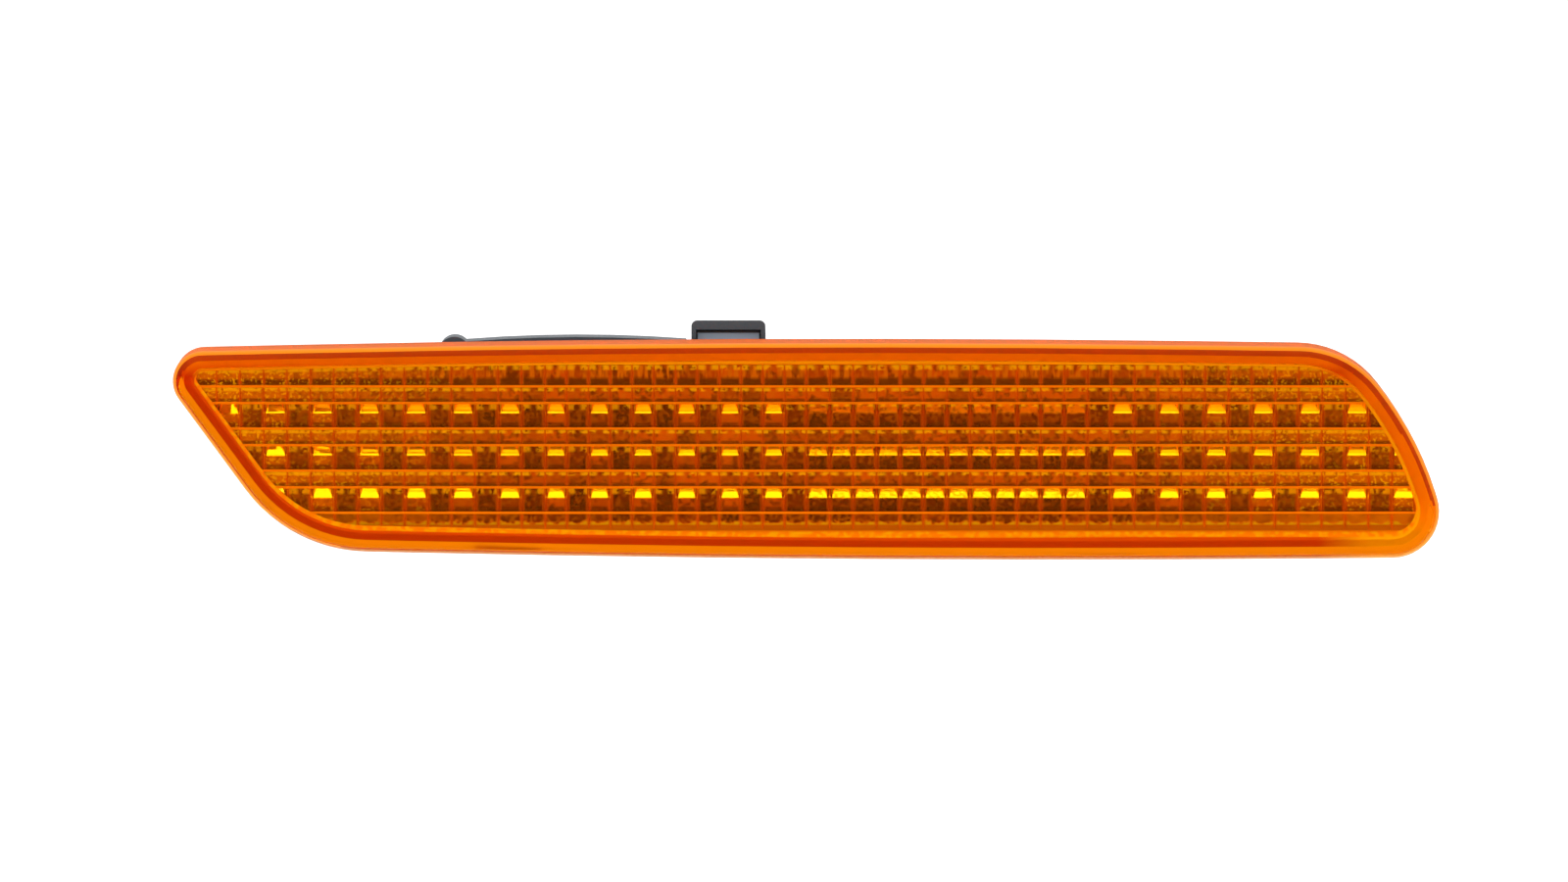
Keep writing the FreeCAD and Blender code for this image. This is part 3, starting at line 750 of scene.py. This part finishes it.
def amber_plastic():
    """Clear amber acrylic, with the look that is painted on each of its faces, much of it painted light and
    painted shade.
    """
    n = Nodes("amber_plastic")
    cell = n.split(n.add("ShaderNodeUVMap", uv_map="cell").outputs["UV"])
    across = n.absolute(n.remap(cell["X"], 0.0, 1.0, -1.0, 1.0))
    fine = n.noise(FINE_NOISE)
    color = rim_color(n, n.painted("tint", "Color"), fine)
    color = cell_color(n, color, cell, across, fine)
    mottled = n.times(n.mask(fine, MOTTLE_MASK), n.painted("mottle"))
    color = n.mix(mottled, color, AMBER)
    # Painted highlights on the upper corners of the cells and at the ends of the lens
    glint = glints(n, cell, across, fine)
    color = n.mix(glint, color, GLINT)
    # Darker orange painted on the upper corners of the facets, shaping the painted light of the wedges
    wing = wings(n, cell, across)
    color = n.mix(wing, color, FRAME)
    dense = n.most(glint, n.times(mottled, MOTTLE_DENSE))
    clear = n.times(n.painted("clear"), n.remap(dense, 0.0, 1.0, 1.0, 0.0))
    clear = n.times(clear, n.remap(wing, 0.0, 1.0, 1.0, WING_CLEAR))
    n.shade("Base Color", color)
    n.shade("Specular Tint", n.mix(n.painted("outer"), INNER_GLOSS, OUTER_GLOSS))
    n.shade("Transmission Weight", clear)
    n.shade("Roughness", n.painted("rough"))
    n.shader.inputs["IOR"].default_value = ACRYLIC_BEND
    n.bump(n.times(n.noise(RIPPLE_NOISE), n.painted("busy")), RIPPLE_DEPTH, RIPPLE_STRENGTH)
    absorb = n.add("ShaderNodeVolumeAbsorption")
    absorb.inputs["Color"].default_value = DEPTH_COLOR
    absorb.inputs["Density"].default_value = DEPTH_DENSITY
    n.link(absorb.outputs["Volume"], n.output.inputs["Volume"])
    return n.material


# Other materials

def grained(name, dark, pale, rough):
    """Moulded plastic or rubber with a fine grain."""
    n = Nodes(name)
    grain = n.noise(GRAIN_NOISE)
    n.shade("Base Color", n.mix(n.noise(CLOUD_NOISE), dark, pale))
    n.shade("Roughness", n.remap(grain, NOISE_LOW, NOISE_HIGH, rough - GRAIN_ROUGH, rough + GRAIN_ROUGH))
    n.bump(grain, GRAIN_DEPTH, GRAIN_STRENGTH)
    return n


def housing_plastic():
    """Black plastic, with painted light on the panel under the lip of the latch and a painted shadow above
    that panel.
    """
    n = grained("black_plastic", HOUSING_DARK, HOUSING_PALE, HOUSING_ROUGH)
    plain = n.shader.inputs["Base Color"].links[0].from_socket
    place = n.split(n.place())
    panel = n.near(place["X"], PANEL_X, PANEL_HALF)
    panel = n.times(panel, n.near(place["Y"], PANEL_Y, PANEL_DEPTH))
    above = n.remap(place["Z"], PANEL_TOP, PANEL_TOP + PANEL_BLUR, 0.0, 1.0)
    # Painted light on the panel under the latch's lip, painted shadow above it
    n.shade("Base Color", n.mix(panel, plain, n.mix(above, PANEL_LIT, PANEL_SHADOW)))
    return n.material


def metal(name, color, rough):
    n = Nodes(name)
    dark = tuple(TARNISH_DARK * c for c in color)
    pale = tuple(min(1.0, TARNISH_PALE * c) for c in color)
    n.shade("Base Color", n.mix(n.noise(TARNISH_NOISE), dark, pale))
    polish = n.noise(POLISH_NOISE)
    n.shade("Roughness", n.remap(polish, NOISE_LOW, NOISE_HIGH, rough - POLISH_LESS, rough + POLISH_MORE))
    n.shader.inputs["Metallic"].default_value = 1.0
    return n.material


def clear_glass():
    n = Nodes("clear_glass")
    n.shade("Base Color", n.mix(n.noise(GLASS_NOISE), GLASS_DARK, GLASS_PALE))
    n.shader.inputs["Transmission Weight"].default_value = 1.0
    n.shader.inputs["IOR"].default_value = GLASS_BEND
    n.shader.inputs["Roughness"].default_value = 0.0
    return n.material


def dress(material, *nodes):
    """Gives a material to nodes of the frame."""
    for node in nodes:
        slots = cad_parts[node].data.materials
        slots.clear()
        slots.append(material)


add_camera()
add_floor()
set_world()
for light in LIGHTS:
    add_light(*light)
add_lens()
dress(housing_plastic(), "housing")
dress(grained("holder_plastic", HOLDER_DARK, HOLDER_PALE, HOLDER_ROUGH).material, "bulb_holder")
dress(grained("rubber", RUBBER_DARK, RUBBER_PALE, RUBBER_ROUGH).material, "holder_seal")
dress(metal("bright_film", FILM_COLOR, FILM_ROUGH), "reflector")
dress(metal("brass", BRASS_COLOR, BRASS_ROUGH), "contact_live", "contact_earth")
dress(metal("wire", WIRE_COLOR, WIRE_ROUGH), "bulb_wire_live", "bulb_wire_earth", "bulb_filament")
dress(clear_glass(), "bulb_glass")
